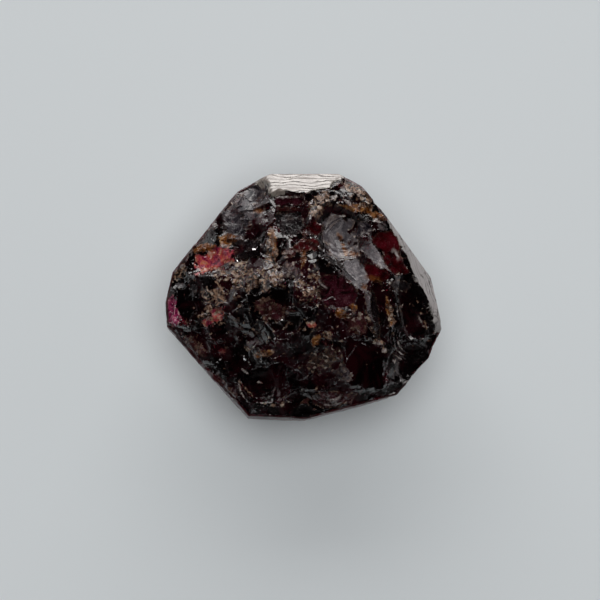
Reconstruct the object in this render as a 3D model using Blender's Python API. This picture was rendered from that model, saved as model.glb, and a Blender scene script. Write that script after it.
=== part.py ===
"""A loose garnet crystal, about 31 x 28 x 19 mm, lying on its flat underside.

Flat natural faces run round its sides: tall girdle faces, narrow striated bevels above them
and slanted faces below, each with low growth terraces. Its top is broken: a rough roof of
curved chips, ledges and grit. It is shaped in millimetres, +Z up, and scaled to metres last.
"""

import math
import random

import bmesh
import bpy
from mathutils import Matrix, Vector, noise

# Driving dimensions of the stone, in millimetres.
MILLIMETRE = 0.001
BLANK_SIDE = 60.0  # cube that the natural faces are cut from
SHEET_HALF, SHEET_CELL = 24.0, 1.2  # the rough sheet that breaks the top off, and its cells
LUMP_RISE, LUMP_SPAN = 0.45, 3.4  # height and width of the sheet's lumps
LUMP_OCTAVES, LUMP_ROUGHNESS, LUMP_GAIN = 3, 0.9, 2.1  # the fractal that the lumps follow
EDGE_SOFTNESS = 0.35  # how far the edges between its slopes are worn down
SEED = 11

# Natural faces: name, compass direction of the normal (degrees from +X towards +Y), lean of
# the normal above the horizon (degrees), and the reach from the middle axis at a height.
NATURAL_FACES = (
    ("girdle_north", 90, -5, 13.95, 12.8),
    ("girdle_north_corner", 114, -4, 14.2, 12.4),
    ("girdle_north_west", 141, -2, 13.4, 11.5),
    ("girdle_west_corner", 166, -3, 15.1, 10.8),
    ("girdle_west", 183, 3, 15.75, 8.6),
    ("girdle_south_west", 222, 6, 13.95, 7.2),
    ("girdle_south", -93, 7, 14.15, 7.4),
    ("girdle_south_corner", -75, 5, 13.65, 8.0),
    ("girdle_south_east", -41, -7, 15.3, 11.5),
    ("girdle_east_corner", -22, -4, 15.8, 11.5),
    ("girdle_east", 12, -4, 14.6, 12.0),
    ("girdle_north_east", 38, -4, 12.8, 12.4),
    ("girdle_north_east_corner", 60, -4, 14.05, 12.4),
    ("bevel_north", 90, 52, 14.0, 12.9),
    ("bevel_east", 19, 47, 14.3, 12.3),
    ("under_north_east", 60, -48, 12.6, 7.0),
    ("under_north_west", 150, -42, 12.9, 6.6),
    ("under_west", 205, -50, 13.6, 5.4),
    ("under_south", 268, -44, 12.8, 4.6),
    ("under_south_east", -30, -46, 13.8, 5.6),
    ("rest", 0, -90, 0.0, 0.0),
    ("lost_top", 0, 90, 0.0, 24.0),
)

# Broad slopes of the broken top: the way each falls, how steeply (degrees), and its height
# over the middle axis.
BREAK_SLOPES = (
    (-95, 4, 18.9),
    (92, 22, 19.5),
    (141, 33, 19.9),
    (187, 31, 19.9),
    (222, 35, 19.9),
    (-85, 32, 19.4),
    (-39, 31, 20.3),
    (19, 27, 20.5),
)

# Growth terraces: each is a thin plate on a natural face, smaller than the plate under it.
TERRACED = ("girdle", "under")
TERRACE_LEVELS = 3
TERRACE_BORDER = (0.2, 3.0)  # how far a terrace stays back from the face beside it, for each level
TERRACE_STEP = 0.1  # height of one terrace above the next

# Striations cut across the bevels: the bevel, how many, how far up the bevel the first lies,
# their spacing, half their length and half their width.
STRIAE = (
    ("bevel_north", 9, 0.3, 0.27, 4.7, 0.1),
    ("bevel_east", 9, 0.4, 0.3, 7.0, 0.1),
)

# Rounded bosses left standing on the break: name, place in plan, half length, half width,
# turn of the length from +X, and height.
BOSSES = (
    ("west_boss", -13.0, -1.2, 2.4, 1.9, 80, 0.9),
    ("north_boss", 3.9, 11.2, 1.5, 0.9, 160, 0.6),
    ("ridge_boss", -2.9, 5.2, 4.4, 0.8, 84, 0.6),
    ("south_boss", 0.8, -9.6, 3.2, 1.6, 20, 0.7),
)

# Chips broken out of the top: name, kind, place in plan, half length and half width, turn of
# the length from +X, depth, radius of the hollow, and the way and slope that its floor faces.
# A scoop is a smooth shell-shaped hollow, a flake an angular one, and a ledge has a flat floor.
SCOOP, FLAKE, LEDGE = "scoop", "flake", "ledge"
CHIPS = (
    ("dark_facet", LEDGE, 6.9, -8.1, 3.2, 2.5, 84, 0.5, 0, -75, 12),
    ("dark_step", FLAKE, 3.4, -5.9, 2.2, 2.0, 30, 1.0, 12, -100, 20),
    ("columns", LEDGE, 9.3, -2.1, 4.0, 1.4, 100, 0.6, 0, 170, 8),
    ("column_groove", SCOOP, 8.0, -1.6, 2.9, 0.6, 97, 0.9, 2, -20, 20),
    ("wine_hollow", SCOOP, 12.0, -2.0, 4.0, 1.4, 103, 1.2, 5, 5, 30),
    ("ripple_facet", SCOOP, 11.4, -6.9, 2.2, 1.8, 50, 0.9, 9, -40, 34),
    ("south_facet", FLAKE, -0.5, -11.2, 3.2, 1.7, 0, 0.8, 9, -88, 44),
    ("round_pit", SCOOP, -4.4, -9.4, 2.3, 2.0, 20, 1.2, 4, -100, 34),
    ("south_west_facet", LEDGE, -8.3, -7.0, 2.8, 1.9, 130, 0.5, 0, 226, 16),
    ("south_west_flake", FLAKE, -11.4, -4.9, 2.2, 1.6, 120, 0.8, 7, 215, 36),
    ("west_facet", FLAKE, -6.6, -4.2, 2.3, 1.6, 10, 0.9, 9, -110, 20),
    ("centre_facet", LEDGE, -3.7, -0.3, 2.3, 2.2, 12, 0.4, 0, -70, 17),
    ("plum_facet", LEDGE, 4.1, 0.6, 2.4, 2.1, 20, 0.4, 0, 160, 12),
    ("plum_step", FLAKE, 1.2, -0.9, 1.9, 1.3, 0, 0.9, 9, -110, 12),
    ("magenta_facet", FLAKE, 0.3, 6.0, 1.9, 1.6, 40, 0.9, 8, 40, 22),
    ("red_window", LEDGE, 9.7, 5.0, 3.1, 1.7, 123, 0.6, 0, 200, 4),
    ("red_wedge", FLAKE, 8.8, 2.3, 1.7, 0.9, 160, 1.3, 5, -80, 26),
    ("grey_scallop", SCOOP, 4.3, 6.7, 3.1, 2.4, 118, 1.2, 6, 85, 24),
    ("grey_tongue", SCOOP, 6.1, 3.1, 2.3, 1.2, 120, 1.0, 6, 60, 22),
    ("glint_step", LEDGE, 6.7, 7.3, 1.0, 0.8, 30, 0.9, 0, 120, 30),
    ("window", LEDGE, -1.4, 8.6, 2.1, 2.2, 20, 0.8, 0, 88, 42),
    ("window_ledge", LEDGE, -1.5, 11.1, 2.2, 0.7, 0, 0.3, 0, 80, 6),
    ("north_east_chip", FLAKE, 7.0, 9.7, 2.6, 1.1, 145, 0.8, 5, 50, 36),
    ("rose_hollow", SCOOP, -10.4, 4.3, 2.6, 1.5, 15, 0.7, 6, 150, 32),
    ("rose_dip", FLAKE, -10.0, -1.8, 1.4, 1.1, 0, 0.6, 3, 200, 24),
    ("north_west_hollow", FLAKE, -6.1, 6.4, 1.9, 1.5, 10, 0.9, 5, 110, 26),
    ("north_west_flake", FLAKE, -8.6, 8.2, 2.3, 1.4, 50, 0.7, 6, 140, 38),
    ("north_corner_flake", FLAKE, -5.2, 11.0, 1.9, 1.2, 60, 0.6, 5, 120, 36),
    ("west_notch", SCOOP, -15.6, -3.7, 0.9, 0.9, 0, 0.8, 2, 190, 70),
)
LEDGE_HEIGHT, LEDGE_SIDES, LEDGE_FLARE = 8.0, 5, 2.2  # the prism that cuts a ledge
CHIP_FINENESS = {SCOOP: 4, FLAKE: 2}  # subdivisions of the egg that cuts the hollow

# Small angular chips strewn over the break, under the named ones.
LOOSE_CHIPS = 90
STREWN_X, STREWN_Y = (-14.0, 14.0), (-12.5, 12.0)  # the part of the plan that they fall in
LOOSE_HALF_WIDTH = (0.8, 1.8)
LOOSE_LENGTHENING = (1.0, 1.8)
LOOSE_DEPTH = (0.18, 0.45)
LOOSE_RADIUS = (3.0, 9.0)
LOOSE_LEAN = 0.35  # how far a loose chip's floor may turn from the roof, as a slope
BEVEL_CLEAR = 0.45  # how far under the bevels the break has to lie for a loose chip to fall on it

# Grains of mother rock on the break: place in plan, half length and half width of the patch,
# turn of its length, how many grains, and their half size.
GRIT_PATCHES = (
    (-7.0, 1.2, 5.2, 1.6, -12, 26, 0.6),
    (-3.4, 4.6, 3.6, 0.4, 95, 8, 0.55),
    (-13.0, 2.6, 1.6, 1.2, 60, 5, 0.6),
    (9.6, -1.6, 3.2, 0.3, 97, 7, 0.5),
    (6.6, 9.6, 2.4, 0.6, 140, 5, 0.5),
    (-4.8, -6.2, 2.8, 0.5, -20, 6, 0.5),
    (0.6, 1.6, 2.0, 1.5, 0, 8, 0.5),
)
GRAIN_SIZES = (0.7, 1.3)  # smallest and largest grain, as parts of the patch's half size
GRAIN_SUNK = 0.7  # part of a grain's half size that it is sunk by


LOST_BODY = 0.5  # a cut that leaves less of the body than this has failed

GARNET_COLOUR = (0.055, 0.008, 0.012, 1)
GARNET_ROUGHNESS = 0.22
GARNET_REFRACTION = 1.78


def clear_scene():
    for obj in list(bpy.data.objects):
        bpy.data.objects.remove(obj)


def make_collection(name):
    collection = bpy.data.collections.new(name)
    bpy.context.scene.collection.children.link(collection)
    return collection


def object_from(bm, name, collection):
    """A new object of the bmesh's shape, which is freed."""
    mesh = bpy.data.meshes.new(name)
    bm.to_mesh(mesh)
    bm.free()
    obj = bpy.data.objects.new(name, mesh)
    collection.objects.link(obj)
    return obj


def facing(compass, lean):
    """Unit vector towards a compass direction, leaning above the horizon, both in degrees."""
    a, e = math.radians(compass), math.radians(lean)
    return Vector((math.cos(a) * math.cos(e), math.sin(a) * math.cos(e), math.sin(e)))


def face_point(compass, reach, height):
    """The point of a natural face at its reach from the middle axis."""
    return facing(compass, 0) * reach + Vector((0, 0, height))


def block(moves):
    """A cube cut by every natural face, each moved out along its normal by its value in moves."""
    bm = bmesh.new()
    bmesh.ops.create_cube(bm, size=BLANK_SIDE)
    for name, compass, lean, reach, height in NATURAL_FACES:
        normal = facing(compass, lean)
        cut = bmesh.ops.bisect_plane(
            bm,
            geom=bm.verts[:] + bm.edges[:] + bm.faces[:],
            plane_co=face_point(compass, reach, height) + normal * moves.get(name, 0),
            plane_no=normal,
            clear_outer=True,
        )
        rim = [edge for edge in cut["geom_cut"] if isinstance(edge, bmesh.types.BMEdge)]
        if rim:
            bmesh.ops.edgeloop_fill(bm, edges=rim)
    bmesh.ops.recalc_face_normals(bm, faces=bm.faces[:])
    return bm


def terraces(body, rng, cutters):
    """Fuses the growth terraces to the natural faces: plates bounded by the faces beside them."""
    names = [name for name, *_ in NATURAL_FACES]
    for terraced in (name for name in names if name.startswith(TERRACED)):
        moves = dict.fromkeys(names, 0)
        for level in range(1, TERRACE_LEVELS + 1):
            for name in names:
                moves[name] -= rng.uniform(*TERRACE_BORDER)
            moves[terraced] = level * TERRACE_STEP
            combine(body, block(moves), f"terrace_{terraced}_{level}", "UNION", cutters)


def roof_height(x, y):
    """Height of the broken top over a place in plan, before its chips."""
    place = Vector((x, y, 0))
    total = 0
    for compass, steepness, height in BREAK_SLOPES:
        slope = height - math.tan(math.radians(steepness)) * place.dot(facing(compass, 0))
        total += math.exp(-slope / EDGE_SOFTNESS)
    at = Vector((x, y, SEED)) / LUMP_SPAN
    lumps = noise.fractal(at, LUMP_ROUGHNESS, LUMP_GAIN, LUMP_OCTAVES)
    return LUMP_RISE * lumps - EDGE_SOFTNESS * math.log(total)


def roof_normal(x, y, reach=0.8):
    """The way that the broken top faces over a place in plan, read across a short reach."""
    east = roof_height(x + reach, y) - roof_height(x - reach, y)
    north = roof_height(x, y + reach) - roof_height(x, y - reach)
    return Vector((-east, -north, 2 * reach)).normalized()


def bevel_height(x, y):
    """Height of the lowest bevel over a place in plan."""
    place = Vector((x, y, 0))
    return min(
        height - (place.dot(facing(compass, 0)) - reach) / math.tan(math.radians(lean))
        for name, compass, lean, reach, height in NATURAL_FACES
        if name.startswith("bevel")
    )


def break_sheet():
    """A closed block over the crystal, whose rough underside breaks the top off."""
    bm = bmesh.new()
    cells = round(2 * SHEET_HALF / SHEET_CELL)
    bmesh.ops.create_grid(bm, x_segments=cells, y_segments=cells, size=SHEET_HALF)
    bmesh.ops.triangulate(bm, faces=bm.faces[:])
    for vert in bm.verts:
        vert.co.z = roof_height(vert.co.x, vert.co.y)
    lid = bmesh.ops.extrude_face_region(bm, geom=bm.faces[:])
    for vert in lid["geom"]:
        if isinstance(vert, bmesh.types.BMVert):
            vert.co.z = BLANK_SIDE
    bmesh.ops.recalc_face_normals(bm, faces=bm.faces[:])
    return bm


def striae():
    """Thin square rods lying in the bevels, which cut their striations."""
    bm = bmesh.new()
    faces = {name: where for name, *where in NATURAL_FACES}
    for name, count, first, spacing, half_length, half_width in STRIAE:
        compass, lean, reach, height = faces[name]
        along, normal = facing(compass + 90, 0), facing(compass, lean)
        up = along.cross(normal) * -1
        for number in range(count):
            middle = face_point(compass, reach, height) + up * (first + number * spacing)
            turn = Matrix((up, normal, along)).transposed().to_4x4()
            bmesh.ops.create_cone(
                bm, segments=4, cap_ends=True, radius1=half_width, radius2=half_width,
                depth=2 * half_length, matrix=Matrix.Translation(middle) @ turn,
            )
    return bm


def under(body, x, y):
    """The point of the body's top over a place in plan."""
    bpy.context.view_layer.update()
    hit, point, _, _ = body.ray_cast(Vector((x, y, BLANK_SIDE)), Vector((0, 0, -1)))
    return point if hit else Vector((x, y, roof_height(x, y)))


def chip(kind, point, half_length, half_width, turn, depth, radius, normal):
    """The shape that breaks a chip out at a point: an egg, or a prism for a ledge."""
    bm = bmesh.new()
    spin = Matrix.Rotation(math.radians(turn), 4, "Z")
    lean = Vector((0, 0, 1)).rotation_difference(normal).to_matrix().to_4x4()
    if kind == LEDGE:
        size = Matrix.Diagonal((half_length, half_width, 1, 1))
        place = Matrix.Translation(point + normal * (LEDGE_HEIGHT / 2 - depth)) @ lean @ spin @ size
        bmesh.ops.create_cone(
            bm, segments=LEDGE_SIDES, cap_ends=True, radius1=1, radius2=LEDGE_FLARE,
            depth=LEDGE_HEIGHT, matrix=place,
        )
        return bm
    inside = math.sqrt(1 - (1 - depth / radius) ** 2)
    size = Matrix.Diagonal((half_length / inside, half_width / inside, radius, 1))
    place = Matrix.Translation(point + normal * (radius - depth)) @ lean @ spin @ size
    bmesh.ops.create_icosphere(bm, subdivisions=CHIP_FINENESS[kind], radius=1, matrix=place)
    return bm


def boss(point, half_length, half_width, turn, height):
    """A rounded lump about a point."""
    bm = bmesh.new()
    place = Matrix.Translation(point) @ Matrix.Rotation(math.radians(turn), 4, "Z")
    size = Matrix.Diagonal((half_length, half_width, height, 1))
    bmesh.ops.create_icosphere(bm, subdivisions=3, radius=1, matrix=place @ size)
    return bm


def grain(point, half_size, rng):
    """An angular grain of mother rock about a point."""
    bm = bmesh.new()
    size = Matrix.Diagonal((half_size, half_size * rng.uniform(0.6, 1), half_size * 0.8, 1))
    spin = Matrix.Rotation(rng.uniform(0, math.tau), 4, facing(rng.uniform(0, 360), 30))
    place = Matrix.Translation(point) @ spin @ size
    bmesh.ops.create_icosphere(bm, subdivisions=1, radius=1, matrix=place)
    return bm


def volume(mesh):
    """Volume inside a mesh, or zero where it isn't closed."""
    bm = bmesh.new()
    bm.from_mesh(mesh)
    closed = all(len(edge.link_faces) == 2 for edge in bm.edges)
    inside = bm.calc_volume() if closed else 0
    bm.free()
    return inside


def combine(body, bm, name, operation, cutters):
    """Cuts the shape from the body, or fuses it on, and keeps the shape as a wire guide.

    Where the exact solver loses the body, the manifold one makes the cut.
    """
    tool = object_from(bm, name, cutters)
    tool.hide_render = True
    tool.display_type = "WIRE"
    modifier = body.modifiers.new(name, "BOOLEAN")
    modifier.object = tool
    modifier.operation = operation
    for solver in ("EXACT", "MANIFOLD"):
        modifier.solver = solver
        graph = bpy.context.evaluated_depsgraph_get()
        mesh = bpy.data.meshes.new_from_object(body.evaluated_get(graph))
        if volume(mesh) > LOST_BODY * volume(body.data):
            break
    body.modifiers.clear()
    body.data = mesh


def drop_crumbs(body):
    """Removes what the chips cut loose: every island of the mesh but the largest."""
    bm = bmesh.new()
    bm.from_mesh(body.data)
    waiting, islands = set(bm.verts), []
    while waiting:
        island, edge_of_it = set(), [waiting.pop()]
        while edge_of_it:
            vert = edge_of_it.pop()
            island.add(vert)
            near = {edge.other_vert(vert) for edge in vert.link_edges} & waiting
            waiting -= near
            edge_of_it.extend(near)
        islands.append(island)
    islands.sort(key=len)
    for island in islands[:-1]:
        bmesh.ops.delete(bm, geom=list(island), context="VERTS")
    bm.to_mesh(body.data)
    bm.free()


def bosses(body, cutters):
    for name, x, y, half_length, half_width, turn, height in BOSSES:
        shape = boss(under(body, x, y), half_length, half_width, turn, height)
        combine(body, shape, name, "UNION", cutters)


def loose_chips(body, rng, cutters):
    for number in range(LOOSE_CHIPS):
        x, y = rng.uniform(*STREWN_X), rng.uniform(*STREWN_Y)
        half_width = rng.uniform(*LOOSE_HALF_WIDTH)
        half_length = half_width * rng.uniform(*LOOSE_LENGTHENING)
        lean = Vector((rng.uniform(-1, 1), rng.uniform(-1, 1), 0)) * LOOSE_LEAN
        normal = (roof_normal(x, y) + lean).normalized()
        depth, radius = rng.uniform(*LOOSE_DEPTH), rng.uniform(*LOOSE_RADIUS)
        turn = rng.uniform(0, 180)
        if bevel_height(x, y) - roof_height(x, y) < BEVEL_CLEAR:
            continue
        shape = chip(FLAKE, under(body, x, y), half_length, half_width, turn, depth, radius, normal)
        combine(body, shape, f"loose_chip_{number:02d}", "DIFFERENCE", cutters)


def named_chips(body, cutters):
    for name, kind, x, y, half_length, half_width, turn, depth, radius, compass, slope in CHIPS:
        normal = facing(compass, 90 - slope)
        shape = chip(kind, under(body, x, y), half_length, half_width, turn, depth, radius, normal)
        combine(body, shape, name, "DIFFERENCE", cutters)


def grit(body, rng, cutters):
    for patch, (x, y, half_length, half_width, turn, count, half_size) in enumerate(GRIT_PATCHES):
        for number in range(count):
            along = facing(turn, 0) * rng.uniform(-half_length, half_length)
            across = facing(turn + 90, 0) * rng.uniform(-half_width, half_width)
            size = half_size * rng.uniform(*GRAIN_SIZES)
            point = under(body, x + along.x + across.x, y + along.y + across.y)
            point.z -= GRAIN_SUNK * size
            combine(body, grain(point, size, rng), f"grain_{patch}_{number:02d}", "UNION", cutters)


def garnet_material():
    material = bpy.data.materials.new("garnet")
    material.use_nodes = True
    surface = material.node_tree.nodes["Principled BSDF"]
    surface.inputs["Base Color"].default_value = GARNET_COLOUR
    surface.inputs["Roughness"].default_value = GARNET_ROUGHNESS
    surface.inputs["IOR"].default_value = GARNET_REFRACTION
    return material


def main():
    clear_scene()
    stone = make_collection("garnet crystal")
    cutters = make_collection("cutters")
    rng = random.Random(SEED)
    crystal = object_from(block({}), "garnet_crystal", stone)
    terraces(crystal, rng, cutters)
    combine(crystal, striae(), "striae", "DIFFERENCE", cutters)
    combine(crystal, break_sheet(), "break_sheet", "DIFFERENCE", cutters)
    bosses(crystal, cutters)
    loose_chips(crystal, rng, cutters)
    named_chips(crystal, cutters)
    grit(crystal, rng, cutters)
    drop_crumbs(crystal)
    crystal.data.materials.clear()
    crystal.data.materials.append(garnet_material())
    for obj in stone.objects[:] + cutters.objects[:]:
        obj.data.transform(Matrix.Scale(MILLIMETRE, 4))


if __name__ == "__main__":
    main()
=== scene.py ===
import math

import bpy
import numpy as np
from mathutils import Matrix, Vector, noise


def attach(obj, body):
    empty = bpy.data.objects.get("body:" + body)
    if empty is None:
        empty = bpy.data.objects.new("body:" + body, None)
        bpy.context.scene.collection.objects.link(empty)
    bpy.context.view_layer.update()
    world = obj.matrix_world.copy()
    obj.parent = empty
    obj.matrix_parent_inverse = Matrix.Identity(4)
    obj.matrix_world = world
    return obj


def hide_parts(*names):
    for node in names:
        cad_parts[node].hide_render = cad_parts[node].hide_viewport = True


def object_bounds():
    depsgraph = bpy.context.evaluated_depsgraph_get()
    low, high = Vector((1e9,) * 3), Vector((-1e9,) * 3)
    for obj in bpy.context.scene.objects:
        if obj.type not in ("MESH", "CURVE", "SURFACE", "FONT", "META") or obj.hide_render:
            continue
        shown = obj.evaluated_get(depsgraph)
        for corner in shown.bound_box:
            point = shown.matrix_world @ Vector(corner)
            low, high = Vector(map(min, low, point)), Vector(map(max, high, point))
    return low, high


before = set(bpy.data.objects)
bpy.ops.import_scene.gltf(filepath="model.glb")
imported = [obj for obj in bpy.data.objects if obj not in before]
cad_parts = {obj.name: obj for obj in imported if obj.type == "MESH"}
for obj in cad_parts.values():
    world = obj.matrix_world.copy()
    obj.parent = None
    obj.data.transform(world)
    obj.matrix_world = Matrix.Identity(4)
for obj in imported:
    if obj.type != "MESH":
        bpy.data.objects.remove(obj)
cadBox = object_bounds()
mm = 0.001


def deselectAll():
    bpy.ops.object.select_all(action="DESELECT")


def makeActive(obj):
    deselectAll()
    obj.select_set(True)
    bpy.context.view_layer.objects.active = obj


def direction(compass, lean):  # degrees from +X towards +Y, and above the horizon
    a, e = math.radians(compass), math.radians(lean)
    return Vector((math.cos(a) * math.cos(e), math.sin(a) * math.cos(e), math.sin(e)))


# Small helpers for material nodes. A value is either a number or another node's output.
def setOrLink(links, socket, value):
    if isinstance(value, bpy.types.NodeSocket):
        links.new(value, socket)
    else:
        socket.default_value = value


def addMath(nodes, links, operation, *values):
    node = nodes.new("ShaderNodeMath")
    node.operation = operation
    for socket, value in zip(node.inputs, values):
        setOrLink(links, socket, value)
    return node.outputs[0]


def addMix(nodes, links, factor, first, second):
    mix = nodes.new("ShaderNodeMix")
    mix.data_type = "RGBA"
    for label, value in (("Factor", factor), ("A", first), ("B", second)):
        setOrLink(links, mix.inputs[label], value)
    return mix.outputs["Result"]


def addRange(nodes, links, value, fromMin, fromMax, toMin, toMax):
    spread = nodes.new("ShaderNodeMapRange")
    spread.inputs["From Min"].default_value = fromMin
    spread.inputs["From Max"].default_value = fromMax
    spread.inputs["To Min"].default_value = toMin
    spread.inputs["To Max"].default_value = toMax
    links.new(value, spread.inputs["Value"])
    return spread.outputs["Result"]


def addRamp(nodes, links, value, stops, smooth):
    ramp = nodes.new("ShaderNodeValToRGB")
    ramp.color_ramp.interpolation = "LINEAR" if smooth else "CONSTANT"
    while len(ramp.color_ramp.elements) < len(stops):
        ramp.color_ramp.elements.new(1.0)
    for element, (position, colour) in zip(ramp.color_ramp.elements, stops):
        element.position = position
        element.color = (*colour, 1)
    links.new(value, ramp.inputs["Fac"])
    return ramp.outputs["Color"]


def addMark(nodes, name):  # reads one of the marks that markStone leaves on the stone
    layer = nodes.new("ShaderNodeAttribute")
    layer.attribute_name = name
    return layer.outputs["Fac"]


def addBump(nodes, links, surface, height, strength, distance):
    bump = nodes.new("ShaderNodeBump")
    bump.inputs["Strength"].default_value = strength
    bump.inputs["Distance"].default_value = distance
    links.new(height, bump.inputs["Height"])
    links.new(bump.outputs["Normal"], surface.inputs["Normal"])


# Camera, straight above the stone
camera = {
    "height": 240 * mm,
    "outlineHeight": 11.5 * mm,  # where the stone is widest
    "spanAtOutline": 67.9 * mm,  # how wide the view is at that height
    "over": (-0.34 * mm, -0.23 * mm),
    "sensor": 36.0,
    "nearest": 0.005,
    "farthest": 20,
}


def makeCamera():
    x, y = camera["over"]
    bpy.ops.object.camera_add(location=(x, y, camera["height"]), rotation=(0, 0, 0))
    eye = bpy.context.object
    eye.name = "camera"
    distance = camera["height"] - camera["outlineHeight"]
    eye.data.sensor_width = camera["sensor"]
    eye.data.lens = camera["sensor"] * distance / camera["spanAtOutline"]
    eye.data.clip_start = camera["nearest"]
    eye.data.clip_end = camera["farthest"]
    bpy.context.scene.camera = eye


# Floor, light and the room round it, in metres
room = {
    "floorSize": 6.0,
    "floorColour": (0.70, 0.745, 0.765, 1),
    "floorRoughness": 0.6,
    "floorShine": 0.1,
    "fadeStart": 0.5,  # where the floor starts to fade into what is seen behind it
    "fadeEnd": 2.2,
    "windowSize": (1.7, 0.72),
    "windowPlace": (-0.08, 1.2, 0.46),
    "windowPower": 12.5,
    "windowColour": (1.0, 0.985, 0.965),
    "fillSize": 0.5,
    "fillPlace": (0.03, 0.06, 0.55),
    "fillPower": 1.9,
    "horizonColour": (1.0, 0.89, 0.91, 1),
    "zenithColour": (0.009, 0.008, 0.008, 1),
    "brightBelow": 0.30,  # sine of the height above the horizon where the room starts to darken
    "darkAbove": 0.62,
    "brightSide": (0.12, 0.99, 0.0),
    "sideStart": -0.35,  # how squarely a way has to face the bright side before it brightens
    "sideFull": 0.45,
    "dullSide": 0.05,
    "brightness": 0.64,
    "seenColour": (0.56, 0.60, 0.62, 1),
}


def makeFloor():
    bpy.ops.mesh.primitive_plane_add(size=room["floorSize"], location=(0, 0, 0))
    floor = bpy.context.object
    floor.name = "floor"
    material = bpy.data.materials.new("pale floor")
    material.use_nodes = True
    nodes, links = material.node_tree.nodes, material.node_tree.links
    surface = nodes["Principled BSDF"]
    surface.inputs["Base Color"].default_value = room["floorColour"]
    surface.inputs["Roughness"].default_value = room["floorRoughness"]
    surface.inputs["Specular IOR Level"].default_value = room["floorShine"]
    surface.inputs["Emission Strength"].default_value = 1.0
    place = nodes.new("ShaderNodeTexCoord")
    away = nodes.new("ShaderNodeVectorMath")
    away.operation = "LENGTH"
    links.new(place.outputs["Object"], away.inputs[0])
    away = away.outputs["Value"]
    faded = addRange(nodes, links, away, room["fadeStart"], room["fadeEnd"], 0.0, 1.0)
    glow = addMix(nodes, links, faded, (0, 0, 0, 1), room["seenColour"])
    links.new(glow, surface.inputs["Emission Color"])
    floor.data.materials.append(material)


def addLamp(name, place, power, shape):  # an area light that looks at the stone
    bpy.ops.object.light_add(type="AREA", location=place)
    lamp = bpy.context.object
    lamp.name = name
    lamp.data.shape = shape
    lamp.data.energy = power
    lamp.rotation_euler = Vector(place).to_track_quat("Z", "Y").to_euler()
    lamp.visible_camera = False
    return lamp


def makeWindow():
    window = addLamp("window", room["windowPlace"], room["windowPower"], "RECTANGLE")
    window.data.size, window.data.size_y = room["windowSize"]
    window.data.color = room["windowColour"]


def makeFill():  # soft light from above that lifts the shadow and shows in no facet
    fill = addLamp("fill", room["fillPlace"], room["fillPower"], "DISK")
    fill.data.size = room["fillSize"]
    fill.visible_glossy = False
    fill.visible_transmission = False


def makeRoom():  # bright low on one side and dark overhead, with a plain colour behind the floor
    world = bpy.data.worlds.new("room")
    bpy.context.scene.world = world
    world.use_nodes = True
    nodes, links = world.node_tree.nodes, world.node_tree.links
    nodes.clear()
    out = nodes.new("ShaderNodeOutputWorld")
    light = nodes.new("ShaderNodeBackground")
    seen = nodes.new("ShaderNodeBackground")
    either = nodes.new("ShaderNodeMixShader")
    path = nodes.new("ShaderNodeLightPath")
    place = nodes.new("ShaderNodeTexCoord")
    split = nodes.new("ShaderNodeSeparateXYZ")
    ramp = nodes.new("ShaderNodeValToRGB")
    towards = nodes.new("ShaderNodeVectorMath")
    side = nodes.new("ShaderNodeMapRange")
    ramp.color_ramp.interpolation = "EASE"
    ramp.color_ramp.elements[0].position = room["brightBelow"]
    ramp.color_ramp.elements[0].color = room["horizonColour"]
    ramp.color_ramp.elements[1].position = room["darkAbove"]
    ramp.color_ramp.elements[1].color = room["zenithColour"]
    seen.inputs["Color"].default_value = room["seenColour"]
    towards.operation = "DOT_PRODUCT"
    towards.inputs[1].default_value = room["brightSide"]
    side.interpolation_type = "SMOOTHSTEP"
    side.inputs["From Min"].default_value = room["sideStart"]
    side.inputs["From Max"].default_value = room["sideFull"]
    side.inputs["To Min"].default_value = room["dullSide"]
    side.inputs["To Max"].default_value = room["brightness"]
    links.new(place.outputs["Generated"], split.inputs[0])
    links.new(place.outputs["Generated"], towards.inputs[0])
    links.new(towards.outputs["Value"], side.inputs["Value"])
    links.new(split.outputs["Z"], ramp.inputs["Fac"])
    links.new(ramp.outputs["Color"], light.inputs["Color"])
    links.new(side.outputs["Result"], light.inputs["Strength"])
    links.new(path.outputs["Is Camera Ray"], either.inputs["Fac"])
    links.new(light.outputs[0], either.inputs[1])
    links.new(seen.outputs[0], either.inputs[2])
    links.new(either.outputs[0], out.inputs["Surface"])


makeCamera()
makeFloor()
makeWindow()
makeFill()
makeRoom()
bpy.context.scene.view_settings.view_transform = "Standard"
print("camera, floor and light are set")

# The stone. It is shaped in millimetres and brought back to metres last.
stone = {
    "mergeDistance": 0.0005,
    "voxel": 0.105,
    "mostTriangles": 196000,
    "sharpAngle": 24,
    "naturalDepth": 0.3,  # how far under its plane a natural face still counts
    # size of the angular facets, their slant and the height of the steps between them
    "hackle": ((2.4, 0.16, 0.2), (1.0, 0.16, 0.08)),
    "grainSize": 0.3,
    "grainRise": 0.006,
    "gritSize": 0.42,
    "gritRise": 0.09,
    "striaStretch": (0.12, 0.12, 1.7),  # growth lines run long round the stone, and lie close
    "striaRise": 0.035,
    "dentSize": 1.5,
    "dentDepth": 0.24,
    "wanderSize": 2.4,
    "wander": 0.45,  # how far the edges of the hollows wander
    "wanderWithin": (15, 13.5),  # half the length and width inside which they do
    "waverSize": 1.1,
    "waver": 0.45,  # how far the edges of stains waver
    "fineWaverSize": 0.35,
    "fineWaver": 0.25,
    "raggedSizes": (1.3, 0.4),
    "ragged": 0.3,  # how far the edges of facets wander
    "facetEdge": 0.06,  # how softly the edges of facets and bevels fade
    "bevelEdge": 0.1,
    "bevelRounding": (0.5, 1.7),  # where the break is this deep, a bevel rounds down to it
    "bevelReach": 1.2,  # how deep under its plane a bevel keeps its finish
    "hollowSmoothness": 0.85,
    "drawnIn": 0.02,  # keeps the grain from standing out of the solid
    "crumbSize": 0.55,
    "speckSize": 0.4,
    "specked": ((-2, -1, 14, 6, 0, 1), (5, 11, 4, 2, -40, 1)),  # where more grains are stuck on
}
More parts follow.
